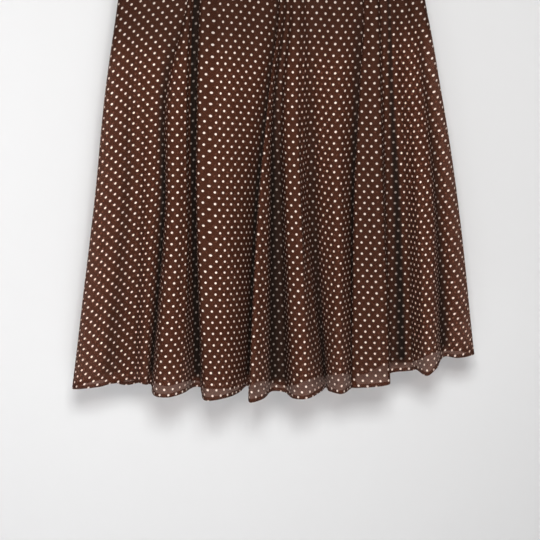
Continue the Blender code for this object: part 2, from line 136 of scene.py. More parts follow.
BACK = (
    Fold("side_left",      -170, -204, -225, -245, -283,  0, 0.00,  -4,      0, (-0.20, -0.30, -0.30)),
    Fold("back_1",         -152, -182, -198, -212, -243, 24, 0.10,  -6,      0, (0.00, 0.00, 0.00)),
    Fold("valley_1",       -130, -155, -164, -178, -208,  2, 0.35,  -7,      0, (0.20, 0.50, 0.80)),
    Fold("back_2",         -112, -133, -142, -154, -180, 26, 0.20,  -8,      0, (0.00, 0.00, 0.00)),
    Fold("seam_left",       -91, -108, -116, -127, -150,  0, 0.20,  -8,      0, (0.50, 0.80, 0.90)),
    Fold("back_3",          -70,  -83,  -88,  -98, -118, 30, 0.15,  -9,      0, (0.00, 0.00, 0.00)),
    Fold("back_4",          -44,  -52,  -54,  -62,  -76, 24, 0.15, -10,      0, (0.00, 0.00, 0.00)),
    Fold("valley_2",        -19,  -24,  -26,  -30,  -42,  2, 0.30, -10,      0, (0.20, 0.60, 0.80)),
    Fold("back_5",            2,    2,    1,   -3,   -8, 30, 0.20,  -9,      0, (0.00, 0.00, 0.00)),
    Fold("seam_middle",      20,   24,   26,   25,   26,  0, 0.25,  -8,      0, (0.40, 0.80, 0.90)),
    Fold("back_6",           42,   50,   53,   55,   62, 28, 0.15,  -5,      0, (0.00, 0.00, 0.00)),
    Fold("back_7",           66,   78,   84,   90,   98, 24, 0.20,   3,      0, (0.00, 0.00, 0.00)),
    Fold("seam_right",       91,  106,  114,  122,  134,  0, 0.20,  10,      0, (0.50, 0.80, 0.90)),
    Fold("back_8",          112,  133,  142,  155,  172, 28, 0.15,  19,      0, (0.00, 0.00, 0.00)),
    Fold("valley_3",        130,  156,  166,  182,  206,  2, 0.35,  28,      0, (0.20, 0.50, 0.80)),
    Fold("back_9",          152,  183,  201,  220,  246, 24, 0.10,  38,      0, (0.00, 0.00, 0.00)),
    Fold("side_right",      171,  206,  230,  258,  291,  0, 0.00,  47,      0, (-0.20, -0.30, -0.30)),
)

# --- gores ---
# first and last are counted in fold lines. straight is the fold line that the columns of spots
# run along, and left and right are the slopes at which the rows of spots fall at its two ends.
Gore = namedtuple("Gore", "name side first last straight left right")
GORES = (
    Gore("under_front_side", "under", 0, 5.5, 2, -0.45, -0.10),
    Gore("under_front_centre", "under", 5.5, 12, 7, 0.00, 0.00),
    Gore("over_front_wrap", "over", 0, 4.5, 2, 0.03, 0.22),
    Gore("over_front_centre", "over", 4.5, 15.5, 10, 0.00, 0.06),
    Gore("over_front_side", "over", 15.5, 27, 18, 0.02, -0.16),
    Gore("back_side_left", "back", 0, 4.5, 2, 0.02, 0.02),
    Gore("back_centre_left", "back", 4.5, 9.5, 6, 0.02, 0.02),
    Gore("back_centre_right", "back", 9.5, 12.5, 11, 0.00, -0.08),
    Gore("back_side_right", "back", 12.5, 16, 14, -0.10, -0.20),
)

# Creases pressed into the flutes: from a place and height to another, places in fold lines,
# depth outward and reach to the left and to the right in millimetres.
Crease = namedtuple("Crease", "side top_place top foot_place foot depth left right")
CREASES = (
    Crease("over", 1.86, -0.15, 1.78, 0.85, 13.0, 8, 40),
    Crease("over", 2.35, 0.10, 2.30, 0.95, 1.6, 12, 12),
    Crease("over", 2.75, 0.05, 2.70, 0.60, -1.5, 8, 8),
    Crease("over", 10.60, 0.00, 11.20, 0.98, 2.6, 6, 9),
    Crease("over", 13.40, 0.05, 13.55, 0.90, -1.2, 9, 9),
    Crease("over", 14.30, 0.10, 14.20, 0.80, 1.4, 10, 10),
    Crease("over", 17.10, 0.04, 17.45, 0.97, 2.6, 6, 9),
    Crease("over", 23.20, 0.20, 23.30, 0.90, -1.2, 8, 8),
    Crease("over", 26.20, 0.25, 26.40, 0.95, 1.4, 9, 9),
    Crease("under", 0.60, 0.10, 0.70, 0.95, 1.4, 9, 9),
    Crease("under", 2.00, 0.35, 2.00, 1.15, -6.0, 8, 8),
    Crease("under", 3.10, 0.40, 3.30, 1.10, -2.0, 6, 6),
    Crease("under", 1.50, 0.30, 1.40, 1.00, -1.4, 8, 8),
    Crease("under", 6.60, 0.35, 6.40, 1.00, 1.5, 9, 9),
    Crease("under", 7.50, 0.30, 7.60, 0.90, -1.3, 9, 9),
    Crease("back", 0.60, 0.10, 0.80, 0.95, 1.5, 10, 10),
    Crease("back", 1.40, 0.25, 1.50, 0.90, -1.5, 9, 9),
    Crease("back", 3.30, 0.15, 3.20, 0.95, 1.6, 11, 11),
    Crease("back", 5.40, 0.05, 5.50, 0.80, -1.5, 12, 12),
    Crease("back", 6.40, 0.30, 6.30, 1.00, 1.4, 9, 9),
    Crease("back", 8.30, 0.10, 8.10, 0.85, -1.3, 9, 9),
    Crease("back", 10.40, 0.05, 10.50, 0.90, -1.6, 12, 12),
    Crease("back", 13.20, 0.20, 13.10, 0.95, 1.5, 10, 10),
    Crease("back", 15.10, 0.15, 15.20, 0.90, -1.4, 9, 9),
)
# Nearness to a valley, between two folds, where its shade starts and where it is full.
SHADE_REACH = (0.35, 0.90)
LINE_REACH = (0.52, 0.82)
LINES = ("thin_valley",)    # valleys that show as no more than a line
TOP_SHADE = 0.40            # painted shade: the cloth is painted a little darker near the top, where it lies on the lining
TOP_SHADE_END = (0.33, 0.42)    # heights between which that fades, beside the lining's hem
RIPPLE = 0.7 * MM           # the cloth's own unevenness, on top of the creases
RIPPLE_ACROSS = 34 * MM
RIPPLE_DOWN = 190 * MM
RIPPLE_START = 0.12         # height where the ripples have their whole size
RIPPLE_PER_FOLD, RIPPLE_PER_LAYER = 0.9, 7.3
CREASE_ENDS = (0.25, 0.15)  # shares of a crease's length over which it grows and fades

# --- lining, waistband, button ---
LINING_TOP, LINING_CENTRE, LINING_SIDE = 0.004, 0.40, 0.365
LINING_INSET = 16 * MM
LINING_BEHIND = (1.6 * MM, 2.5 * MM)
LINING_WALL = 0.6 * MM
LINING_ROWS, LINING_FACES = 40, 24
LINING_WAVE, LINING_WAVE_LENGTH, LINING_WAVE_LEAN = 0.25 * MM, 11 * MM, 2.1
BAND_HALF_WIDTH = 170 * MM
BAND_UNDER_END, BAND_UNDER_START = -40 * MM, -76 * MM
BAND_STEP_END, BAND_OVER_END = -100 * MM, -86 * MM
BAND_UNDER_EASE = 0.2 * MM
BAND_STEP, BAND_ROWS, BOW_FACES = 3 * MM, 10, 24
BAND_ROUNDING = 0.4 * MM
PUCKER, PUCKER_LENGTH = 0.12 * MM, 4.1 * MM
STITCH_INSET = 2.5 * MM     # from the waistband's edges to its rows of stitches
FIRST_STITCH = 60 * MM      # beyond the end that is lapped under
STITCH_THREAD = 0.22 * MM   # radius

# Shares of the button's radius: its disc, and the place and radius of its holes.
DISC_RADIUS, HOLE_PLACE, HOLE_RADIUS = 0.93, 0.24, 0.11
# Shares of its thickness: half the disc and its rounding, the rim, and how far these three lie
# in front of its back: the disc, the rim and the thread.
DISC_HALF, DISC_ROUNDING, RIM_RADIUS = 0.22, 0.08, 0.34
DISC_PLACE, RIM_PLACE, THREAD_PLACE = 0.3, 0.5, 0.6
RIM_BULGE = 1.35            # the rim is deeper than it is wide
RIM_STEPS, RIM_TUBE_STEPS, HOLE_STEPS = 48, 12, 16
CROSS_SPACING, CROSS_OUT = 0.25 * MM, 0.3 * MM  # of the threads that cross on the button
CROSS_WIDTH, CROSS_DEPTH, CROSS_LENGTH = 0.3 * MM, 0.5 * MM, 1.5
SHARP_ANGLE = 40            # degrees, above which an edge of hard pieces is sharp

# --- small tools ---
def lerp(start, end, share):
    return start + (end - start) * share


def smooth(share):
    share = min(max(share, 0.0), 1.0)
    return share * share * (3 - 2 * share)


def hermite(start, end, leaving, arriving, share):
    rest = 1 - share
    return (start * (rest * rest * (1 + 2 * share)) + end * (share * share * (3 - 2 * share))
            + (leaving * rest - arriving * share) * (share * rest))


def through_heights(values, height):
    """A smooth curve through one value for each of HEIGHTS."""
    last = len(HEIGHTS) - 1
    step = max(k for k in range(last) if HEIGHTS[k] <= height)
    span = HEIGHTS[step + 1] - HEIGHTS[step]

    def slope(k):
        low, high = max(k - 1, 0), min(k + 1, last)
        return (values[high] - values[low]) / (HEIGHTS[high] - HEIGHTS[low]) * span

    share = (height - HEIGHTS[step]) / span
    return hermite(values[step], values[step + 1], slope(step), slope(step + 1), share)


def on_curve(points, place):
    """A point of the centripetal Catmull-Rom curve through points[1:-1], place counted in them."""
    step = min(int(place), len(points) - 4)
    before, start, end, after = points[step:step + 4]
    first, middle, last = (max((b - a).length, SHORTEST) ** 0.5
                           for a, b in ((before, start), (start, end), (end, after)))
    across = (end - start) / middle
    leaving = (start - before) / first - (end - before) / (first + middle) + across
    arriving = across - (after - start) / (middle + last) + (after - end) / last
    return hermite(start, end, leaving * middle, arriving * middle, place - step)


# --- the plan curves ---
def front_plane(height):
    return lerp(FRONT_AT_WAIST, FRONT_AT_HEM, height)


def back_plane(height):
    return lerp(BACK_AT_WAIST, BACK_AT_HEM, height ** BACK_GROWTH)


def opening(share):
    """How far a fold has opened, from 0 at its start to 1 at the hem, with a soft beginning."""
    growth = share ** FOLD_GROWTH
    return growth * growth * (1 + FOLD_EASE) / (growth + FOLD_EASE)


def tuck_behind(fold, height):
    """How far a fold line of the under front lies behind the over front's valleys."""
    if not fold.tuck:
        return 0.0
    whole = lerp(TUCK_AT_WAIST, TUCK_AT_HEM, height)
    if fold.tuck == ALWAYS:
        return whole
    return whole * max(0.0, 1 - height / fold.tuck)


def fold_point(fold, height, side):
    x = through_heights((fold.waist, fold.hip, fold.thigh, fold.knee, fold.hem), height) * MM
    z = SHELL_TOP - (SHELL_LENGTH - fold.rise * MM) * height
    if fold.name in ("side_left", "side_right"):
        return Vector((x, lerp(SIDE_AT_WAIST, SIDE_AT_HEM, height), z))
    lift = fold.lift * MM * opening(max(0.0, height - fold.start) / (1 - fold.start))
    if side == "back":
        return Vector((x, back_plane(height) + lift, z))
    return Vector((x, front_plane(height) - lift + tuck_behind(fold, height), z))


def plan_points(side, height):
    """The fold points of one layer from left to right, with one more beyond each end."""
    under = [fold_point(fold, height, "under") for fold in UNDER_FRONT]
    over = [fold_point(fold, height, "over") for fold in OVER_FRONT]
    back = [fold_point(fold, height, "back") for fold in BACK]
    if side == "back":
        return [under[1]] + back + [over[-2]]
    if side == "under":
        return [back[1]] + under + [2 * under[-1] - under[-2]]
    return [2 * over[0] - over[1]] + over + [back[-2]]


FOLDS = {"under": UNDER_FRONT, "over": OVER_FRONT, "back": BACK}


def shade_at(side, place, height):
    """How much shade is painted on a place of a layer: most at its valleys, and less just beside them.
    """
    folds = FOLDS[side]
    step = min(int(place), len(folds) - 2)
    pair = [(np.interp(height, SHADE_HEIGHTS, fold.shade), fold.name, away)
            for fold, away in zip(folds[step:step + 2], (place - step, step + 1 - place))]
    (start, _, share), (end, name, _) = sorted(pair, key=lambda entry: entry[0])
    reach = LINE_REACH if name in LINES else SHADE_REACH
    near = smooth((share - reach[0]) / (reach[1] - reach[0]))
    valley = lerp(start, end, near) * smooth(height / SHADE_HEIGHTS[0])
    below = (height - TOP_SHADE_END[0]) / (TOP_SHADE_END[1] - TOP_SHADE_END[0])
    return lerp(max(valley, TOP_SHADE), valley, smooth(below))


# --- cloth ---
class Level:
    """One level of a layer: its points, the way in, the length along it and its shade."""

    def __init__(self, side, places, height):
        points = plan_points(side, height)
        line = np.array([on_curve(points, place) for place in places])
        along = np.gradient(line[:, :2], axis=0)
        along /= np.maximum(np.linalg.norm(along, axis=1, keepdims=True), 1e-9)
        turn = 1 if side == "back" else -1
        self.inward = np.stack([along[:, 1] * turn, -along[:, 0] * turn,
                                np.zeros(len(places))], axis=1)
        steps = np.linalg.norm(np.diff(line, axis=0), axis=1)
        self.across = np.concatenate([[0.0], np.cumsum(steps)])
        self.places, self.height, self.side = np.array(places), height, side
        self.points = line - self.inward * self.relief()[:, None]
        self.shade = np.array([shade_at(side, place, height) for place in places])

    def relief(self):
        """How far creases and ripples push each point outward."""
        out = np.zeros(len(self.places))
        fade = smooth(self.height / RIPPLE_START)
        for k, (length, place) in enumerate(zip(self.across, self.places)):
            spot = Vector((place * RIPPLE_PER_FOLD + length / RIPPLE_ACROSS,
                           self.height * SHELL_LENGTH / RIPPLE_DOWN,
                           len(self.side) * RIPPLE_PER_LAYER))
            out[k] = noise.noise(spot) * RIPPLE * fade
        for crease in CREASES:
            if crease.side != self.side or not crease.top < self.height < crease.foot:
                continue
            share = (self.height - crease.top) / (crease.foot - crease.top)
            place = lerp(crease.top_place, crease.foot_place, share)
            if not self.places[0] <= place <= self.places[-1]:
                continue
            middle = np.interp(place, self.places, self.across)
            ends = smooth(share / CREASE_ENDS[0]) * smooth((1 - share) / CREASE_ENDS[1])
            strength = ends * crease.depth * MM
            away = self.across - middle
            reach = np.where(away < 0, crease.left, crease.right) * MM
            out += strength * np.exp(-(away / reach) ** 2)
        return out

    def at_length(self, length):
        """The point, the way in and the shade at a length along the level."""
        return [np.array([np.interp(length, self.across, column) for column in table.T])
                for table in (self.points, self.inward, self.shade[:, None])]


def gore_places(gore, steps):
    count = round((gore.last - gore.first) * steps)
    return [lerp(gore.first, gore.last, k / count) for k in range(count + 1)]


def row_drop(gore, level):
    """How far a row of spots falls between the gore's left end and each point."""
    whole = level.across[-1]
    share = level.across / whole
    return (gore.left * share + (gore.right - gore.left) * share ** 2 / 2) * whole


def gore_grid(gore, sizes):
    """Rows of (point, across, down, above the hem, shade) for a gore with its turned edges."""
    places = gore_places(gore, sizes.steps)
    last = sizes.rows
    heights = [k / last for k in range(last + 1)]
    turned = 1 - sizes.hem / SHELL_LENGTH
    lines = [(height, 0.0) for height in heights]
    lines += [(1.0, sizes.hem_gap), (turned, sizes.hem_gap)]
    grid = []
    for height, inset in lines:
        level = Level(gore.side, places, height)
        straight = np.interp(gore.straight, level.places, level.across)
        drop = row_drop(gore, level)
        points = level.points + level.inward * inset
        above = (1 - height) * SHELL_LENGTH
        row = [(points[k], level.across[k] - straight, SHELL_TOP - points[k][2] - drop[k], above,
                level.shade[k]) for k in range(len(places))]
        edge = sizes.edge_gap + inset
        if gore.name == "over_front_wrap":
            row = turned_edge(level, row, edge, sizes.edge, straight, False)[::-1] + row
        if gore.name == "under_front_centre":
            row = row + turned_edge(level, row, edge, sizes.edge, straight, True)
        grid.append(row)
    return grid


def turned_edge(level, row, inset, width, straight, at_end):
    """The free edge of a front, folded in: two more points for a row, from the edge inward."""
    whole = level.across[-1]
    edge = []
    for length in (0.0, width):
        where = whole - length if at_end else length
        point, inward, shade = level.at_length(where)
        edge.append((point + inward * inset, where - straight, row[-1 if at_end else 0][2],
                     row[0][3], shade[0]))
    return edge


def mesh_from_grid(name, grid):
    """A mesh through rows of (point, across, down, above the hem, shade)."""
    rows, columns = len(grid), len(grid[0])
    flat = [entry for row in grid for entry in row]
    corners = [(k * columns + j, (k + 1) * columns + j, (k + 1) * columns + j + 1,
                k * columns + j + 1)
               for k in range(rows - 1) for j in range(columns - 1)]
    mesh = bpy.data.meshes.new(name)
    mesh.from_pydata([tuple(entry[0]) for entry in flat], [], corners)
    mesh.shade_smooth()
    cloth = mesh.uv_layers.new(name="cloth")
    laid = np.array([(entry[1], entry[2]) for entry in flat])
    loops = np.empty(len(mesh.loops), dtype=np.int32)
    mesh.loops.foreach_get("vertex_index", loops)
    cloth.data.foreach_set("uv", laid[loops].ravel())
    for label, column in (("above_hem", 3), ("shade", 4)):
        layer = mesh.attributes.new(label, "FLOAT", "POINT")
        layer.data.foreach_set("value", [float(entry[column]) for entry in flat])
    return mesh


def mesh_from_body(name, body):
    mesh = bpy.data.meshes.new(name)
    body.to_mesh(mesh)
    body.free()
    mesh.shade_smooth()
    return mesh


def add_piece(name, data, material, slot, *nodes):
    """A finished piece in the scene, riding on the one body and standing for its nodes."""
    piece = bpy.data.objects.new(name, data)
    if data.materials:
        data.materials.clear()
    data.materials.append(material)
    bpy.context.scene.collection.objects.link(piece)
    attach(piece, BODY)
    if nodes:
        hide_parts(*nodes)
    return piece


def thicken(piece, wall):
    solidify = piece.modifiers.new("wall", "SOLIDIFY")
    solidify.thickness = wall
    solidify.offset = 0
    return piece


def grid_lengths(grid):
    """The lengths along every row of a grid."""
    return [sum(float(np.linalg.norm(b[0] - a[0])) for a, b in zip(row, row[1:]))
            for row in grid]


# --- materials ---
# Features a metre of the cloth's patterns: the crepe's grain, clouds in the ground, dye in the
# spots, the drift of the spots off their grid, and the mottle of the waistband's two layers.
CREPE, CLOUDS, DYE, DRIFT, MOTTLE = 2600.0, 34.0, 90.0, 26.0, 12.0
DRIFT_ACROSS, DRIFT_DOWN = 1.6 * MM, 2.2 * MM
SHADE_FADE_ABOVE_HEM = (4 * MM, 22 * MM)    # heights above the hem over which the painted valley shade fades in, so light from the wall shows at the hem
LINING_WEAVE, LINING_CLOUDS = 900.0, 20.0
STEEL_STRETCH, STEEL_WEAR = (40.0, 900.0, 900.0), 60.0
BUTTON_MARBLE, THREAD_TWIST, PLASTER_CLOUDS = 220.0, 1400.0, 1.2
PLASTER_DULL = 0.985        # of the paint's colour, in its darker clouds


class Value:
    """A node's output; Python's operators on it add Math nodes."""

    def __init__(self, finish, socket):
        self.finish, self.socket = finish, socket

    def math(self, operation, *values):
        return self.finish.node("ShaderNodeMath", {"operation": operation},
                                dict(enumerate(values)))

    def __add__(self, other):
        return self.math("ADD", self, other)

    def __sub__(self, other):
        return self.math("SUBTRACT", self, other)

    def __rsub__(self, other):
        return self.math("SUBTRACT", other, self)

    def __mul__(self, other):
        return self.math("MULTIPLY", self, other)

    def __truediv__(self, other):
        return self.math("DIVIDE", self, other)

    def __pow__(self, other):
        return self.math("POWER", self, other)

    __radd__ = __add__
    __rmul__ = __mul__

    def fraction(self):
        return self.math("FRACT", self)

    def lesser(self, other):
        return self.math("MINIMUM", self, other)


class Finish:
    """A material and the nodes that work out its colour, opacity and relief."""

    def __init__(self, name):
        self.material = bpy.data.materials.new(name)
        self.material.use_nodes = True
        self.tree = self.material.node_tree
        self.surface = self.tree.nodes["Principled BSDF"]
        self.output = self.tree.nodes["Material Output"]

    def node(self, kind, settings, inputs, output=0):
        """A new node of any kind: its settings first, then its sockets' values or links."""
        made = self.tree.nodes.new(kind)
        for setting, value in settings.items():
            setattr(made, setting, value)
        for socket, value in inputs.items():
            self.feed(made.inputs[socket], value)
        return Value(self, made.outputs[output])

    def feed(self, socket, value):
        if isinstance(value, Value):
            self.tree.links.new(value.socket, socket)
        else:
            socket.default_value = value

    def set(self, **values):
        """Sets the shader's own sockets: words joined by _ are a socket's name."""
        for words, value in values.items():
            self.feed(self.surface.inputs[words.replace("_", " ")], value)

    def mix(self, factor, start, end):
        """Two colours mixed by a factor."""
        start, end = (colour if isinstance(colour, Value) else (*colour, 1)
                      for colour in (start, end))
        return self.node("ShaderNodeMix", {"data_type": "RGBA"},
                         {0: factor, 6: start, 7: end}, output=2)

    def cloth_place(self):
        """The cloth's own coordinates, in metres across and down."""
        return self.node("ShaderNodeUVMap", {"uv_map": "cloth"}, {})

    def piece_place(self):
        """The coordinates of the piece as it stands, in metres."""
        return self.node("ShaderNodeTexCoord", {}, {}, output="Object")

    def part(self, vector, axis):
        return self.node("ShaderNodeSeparateXYZ", {}, {0: vector}, output=axis)

    def measure(self, name):
        """A number stored on the mesh."""
        return self.node("ShaderNodeAttribute", {"attribute_name": name}, {}, output="Fac")

    def grain(self, place, scale, detail=3.0):
        return self.node("ShaderNodeTexNoise", {"noise_dimensions": "3D"},
                         {"Vector": place, "Scale": scale, "Detail": detail}, output="Fac")

    def step_between(self, value, low, high):
        """0 below low, 1 above high and a soft step between them."""
        return self.node("ShaderNodeMapRange", {"interpolation_type": "SMOOTHSTEP"},
                         {"Value": value, "From Min": low, "From Max": high})

    def raise_by(self, height, distance, strength):
        bump = self.node("ShaderNodeBump", {}, {"Strength": strength, "Distance": distance,
                                                "Height": height})
        self.set(Normal=bump)

    def see_through(self, opacity, tint):
        """Lets a tinted share of the light through, what the opacity leaves."""
        film = self.node("ShaderNodeBsdfTransparent", {}, {"Color": tint})
        body = Value(self, self.surface.outputs[0])
        mixed = self.node("ShaderNodeMixShader", {}, {0: opacity, 1: film, 2: body})
        self.tree.links.new(mixed.socket, self.output.inputs["Surface"])


def spots(finish, across, down, sizes):
    """1 on the round spots and 0 between them: two even grids, one in the gaps of the other."""
    nearest = None
    for shift in (0.0, 0.5):
        wide = ((across / sizes.spot_pitch + shift).fraction() - 0.5) * sizes.spot_pitch
        high = ((down / sizes.spot_repeat + shift).fraction() - 0.5) * sizes.spot_repeat
        away = (wide * wide + high * high) ** 0.5
        nearest = away if nearest is None else nearest.lesser(away)
    radius = sizes.spot_width / 2
    return finish.step_between(nearest, radius + sizes.spot_blur, radius - sizes.spot_blur)


def chiffon(name, looks, sizes, opaque=False):
    """Crepe chiffon with cream spots: thin, tinted, with shade painted into its valleys, and darker at
    its hem.
    """
    finish = Finish(name)
    place = finish.cloth_place()
    across, down = finish.part(place, 0), finish.part(place, 1)
    drift = finish.grain(place, DRIFT, 1.0) - 0.5
    dots = spots(finish, across + drift * DRIFT_ACROSS, down + drift * DRIFT_DOWN, sizes)
    # On the gores shade is painted shade, deepest in the valleys and faded out just above the hem; on
    # the opaque waistband it only darkens the cloth evenly and in random mottle.
    if opaque:
        shade = finish.grain(place, MOTTLE) * 0.3 + 0.15
    else:
        shade = finish.measure("shade") * finish.step_between(finish.measure("above_hem"), *SHADE_FADE_ABOVE_HEM)
    crepe = finish.grain(place, CREPE, 2.0)
    brown = finish.mix(finish.grain(place, CLOUDS), looks.brown, looks.brown_light)
    # The ground, and a little less the spots, are mixed toward the dark colour: painted shade on the
    # gores, mottle on the waistband.
    brown = finish.mix(shade, brown, looks.shade_and_mottle)
    cream = finish.mix(finish.grain(place, DYE, 2.0), looks.cream, looks.cream_dull)
    cream = finish.mix(shade * looks.spot_fade, cream, looks.shade_and_mottle)
    finish.set(Base_Color=finish.mix(dots, brown, cream),
               Roughness=0.72 + crepe * 0.2 - dots * 0.1,
               Sheen_Weight=0.08, Sheen_Roughness=0.5, Sheen_Tint=(*looks.brown_light, 1),
               Specular_IOR_Level=0.12)
    finish.raise_by(crepe, 0.00012, 0.5)
    if not opaque:
        # Painted shade also makes the cloth more opaque, so less light from the wall comes through.
        cover = looks.cover + (looks.shade_cover - looks.cover) * shade
        cover = cover + (looks.spot_cover - cover) * dots
        finish.see_through(cover, (*looks.tint, 1))
    return finish.material


def lining_cloth(looks):
    finish = Finish("lining")
    place = finish.cloth_place()
    weave = finish.node("ShaderNodeTexWave", {"bands_direction": "DIAGONAL"},
                        {"Vector": place, "Scale": LINING_WEAVE, "Distortion": 1.0}, output="Fac")
    cloud = finish.grain(place, LINING_CLOUDS)
    finish.set(Base_Color=finish.mix(cloud, looks.lining, looks.lining_light),
               Roughness=0.42 + weave * 0.12, Sheen_Weight=0.1)
    finish.raise_by(weave, 0.00006, 0.4)
    return finish.material


def steel(name, bright, dull, roughness):
    finish = Finish(name)
    place = finish.piece_place()
    drawn = finish.node("ShaderNodeMapping", {}, {"Vector": place, "Scale": STEEL_STRETCH})
    lines = finish.grain(drawn, 1.0, 4.0)
    wear = finish.grain(place, STEEL_WEAR)
    finish.set(Base_Color=finish.mix(wear, bright, dull),
               Metallic=1.0, Roughness=lines * 0.16 + roughness)
    finish.raise_by(lines, 0.00002, 0.3)
    return finish.material


def button_plastic(looks):
    finish = Finish("button_plastic")
    place = finish.piece_place()
    marbled = finish.grain(place, BUTTON_MARBLE, 4.0)
    finish.set(Base_Color=finish.mix(marbled, looks.button, looks.button_light),
               Roughness=0.22 + marbled * 0.1, Coat_Weight=0.4, Coat_Roughness=0.15)
    return finish.material


def thread(looks):
    finish = Finish("thread")
    place = finish.piece_place()
    twist = finish.node("ShaderNodeTexWave", {"bands_direction": "DIAGONAL"},
                        {"Vector": place, "Scale": THREAD_TWIST}, output="Fac")
    finish.set(Base_Color=finish.mix(twist, looks.thread, looks.brown),
               Roughness=0.6, Sheen_Weight=0.2)
    finish.raise_by(twist, 0.00005, 0.5)
    return finish.material


def plaster(name, colour):
    """A wall or floor that can be looked through from behind."""
    finish = Finish(name)
    place = finish.piece_place()
    cloud = finish.grain(place, PLASTER_CLOUDS, 2.0)
    dull = tuple(channel * PLASTER_DULL for channel in colour)
    finish.set(Base_Color=finish.mix(cloud, colour, dull), Roughness=0.9,
               Specular_IOR_Level=0.1)
    behind = finish.node("ShaderNodeNewGeometry", {}, {}, output="Backfacing")
    finish.see_through(1 - behind, (1, 1, 1, 1))
    return finish.material


# --- settings that a user would change ---
def length_setting(name, description, default):
    return FloatProperty(name=name, description=description, default=default, min=0.0,
                         subtype="DISTANCE", unit="LENGTH", precision=5)


def colour_setting(name, description, default):
    return FloatVectorProperty(name=name, description=description, default=default, size=3,
                               min=0.0, max=1.0, subtype="COLOR")


def share_setting(name, description, default):
    return FloatProperty(name=name, description=description, default=default, min=0.0, max=1.0,
                         subtype="FACTOR")


class SkirtSizes(bpy.types.PropertyGroup):
    """Sizes of the cloth and its making."""

    wall: length_setting("Cloth", "Thickness of the chiffon", 0.0004)
    steps: IntProperty(name="Steps", description="Faces between two fold lines", default=9, min=2)
    rows: IntProperty(name="Rows", description="Faces from waistband to hem", default=128, min=8)
    hem: length_setting("Hem", "Height of the turned hem", 0.005)
    hem_gap: length_setting("Hem gap", "Distance of the turned hem from the cloth", 0.0009)
    edge: length_setting("Edge", "Width of the turned edge of the two fronts", 0.007)
    edge_gap: length_setting("Edge gap", "Distance of the turned edge from the cloth", 0.0008)
    seam: length_setting("Seam", "Width of a finished seam", 0.005)
    spot_pitch: length_setting("Spot pitch", "Distance of the spots in a row", 0.0123)
    spot_repeat: length_setting("Spot repeat", "Distance of every second row of spots", 0.0155)
    spot_width: length_setting("Spot width", "Diameter of a spot", 0.0031)
    spot_blur: length_setting("Spot blur", "Softness of a spot's edge", 0.0003)
    stitch: length_setting("Stitch", "Length of a stitch on the waistband", 0.0022)
    stitch_pitch: length_setting("Stitch pitch", "Distance of the stitches", 0.0031)


class SkirtLooks(bpy.types.PropertyGroup):
    """Colours and opacity of the cloth, the button and the hanger."""

    brown: colour_setting("Brown", "Ground of the chiffon", (0.064, 0.0195, 0.0100))
    brown_light: colour_setting("Light brown", "Paler clouds in the ground", (0.077, 0.0255, 0.0130))
    # The painted shade colour of the valleys, also the dark of the waistband's mottle.
    shade_and_mottle: colour_setting("Hollow", "Cloth in the depth of a valley", (0.007, 0.0032, 0.0016))
    cream: colour_setting("Cream", "Spots", (0.80, 0.70, 0.63))
    cream_dull: colour_setting("Dull cream", "Spots where the dye took less", (0.66, 0.56, 0.49))
    tint: colour_setting("Tint", "Light that comes through one wall", (1.0, 0.86, 0.80))
    cover: share_setting("Cover", "Opacity of one face of the chiffon", 0.56)
    shade_cover: share_setting("Valley cover", "Opacity in the depth of a valley", 0.93)
    spot_cover: share_setting("Spot cover", "Opacity of a spot", 0.97)
    # How far the painted shade darkens the spots.
    spot_fade: share_setting("Spot fade", "How far spots darken in the valleys", 0.8)
    lining: colour_setting("Lining", "Ground of the lining", (0.028, 0.025, 0.028))
    lining_light: colour_setting("Light lining", "Paler lining", (0.036, 0.032, 0.035))
    button: colour_setting("Button", "Ground of the button", (0.045, 0.022, 0.014))
    button_light: colour_setting("Light button", "Paler streaks", (0.12, 0.065, 0.04))
    thread: colour_setting("Thread", "Sewing thread", (0.035, 0.016, 0.010))
    steel: colour_setting("Steel", "Hanger", (0.62, 0.62, 0.64))
    steel_dull: colour_setting("Dull steel", "Hanger where it is handled", (0.50, 0.50, 0.52))
    clip: colour_setting("Clips", "Brushed steel of the clips", (0.27, 0.27, 0.28))
    clip_dull: colour_setting("Dull clips", "Clips where they are handled", (0.20, 0.20, 0.205))


# --- the operators: one for each piece or group of like pieces ---
class SKIRT_OT_gores(bpy.types.Operator):
    """Makes the nine gores with their creases, turned hems and turned front edges"""

    bl_idname = "skirt.gores"
    bl_label = "Gores"

    def execute(self, context):
        sizes, looks = context.scene.skirt_sizes, context.scene.skirt_looks
        cloth = chiffon("chiffon", looks, sizes)
        for gore in GORES:
            grid = gore_grid(gore, sizes)
            mesh = mesh_from_grid(gore.name + "_cloth", grid)
            piece = add_piece(gore.name + "_cloth", mesh, cloth, "chiffon", gore.name)
            thicken(piece, sizes.wall)
            lengths = grid_lengths(grid)
        return {"FINISHED"}


SEAMS = (("under", 5.5), ("over", 4.5), ("over", 15.5), ("back", 4.5), ("back", 9.5),
         ("back", 12.5), ("over", 26.9), ("under", 0.1))
SEAM_REACH, SEAM_STEPS = 0.35, 14   # fold lines to each side that are looked at, and steps there
# Its four lines: their places across in shares of its width, and how far behind the cloth they
# lie in shares of the hem's gap.
SEAM_LINES = ((-0.5, 0.6), (-0.2, 0.8), (0.2, 0.8), (0.5, 0.6))


def seam_grid(side, place, sizes):
    """A narrow tape behind a seam, where both gores are turned in and sewn."""
    low, high = max(place - SEAM_REACH, 0), min(place + SEAM_REACH, len(FOLDS[side]) - 1)
    places = [lerp(low, high, k / SEAM_STEPS) for k in range(SEAM_STEPS + 1)]
    grid = []
    for k in range(sizes.rows + 1):
        height = k / sizes.rows
        level = Level(side, places, height)
        middle = np.interp(place, level.places, level.across)
        row = []
        for share, depth in SEAM_LINES:
            length = middle + share * sizes.seam
            point, inward, shade = level.at_length(length)
            row.append((point + inward * (sizes.hem_gap * depth), length, SHELL_TOP - point[2],
                        (1 - height) * SHELL_LENGTH, shade[0]))
        grid.append(row)
    return grid


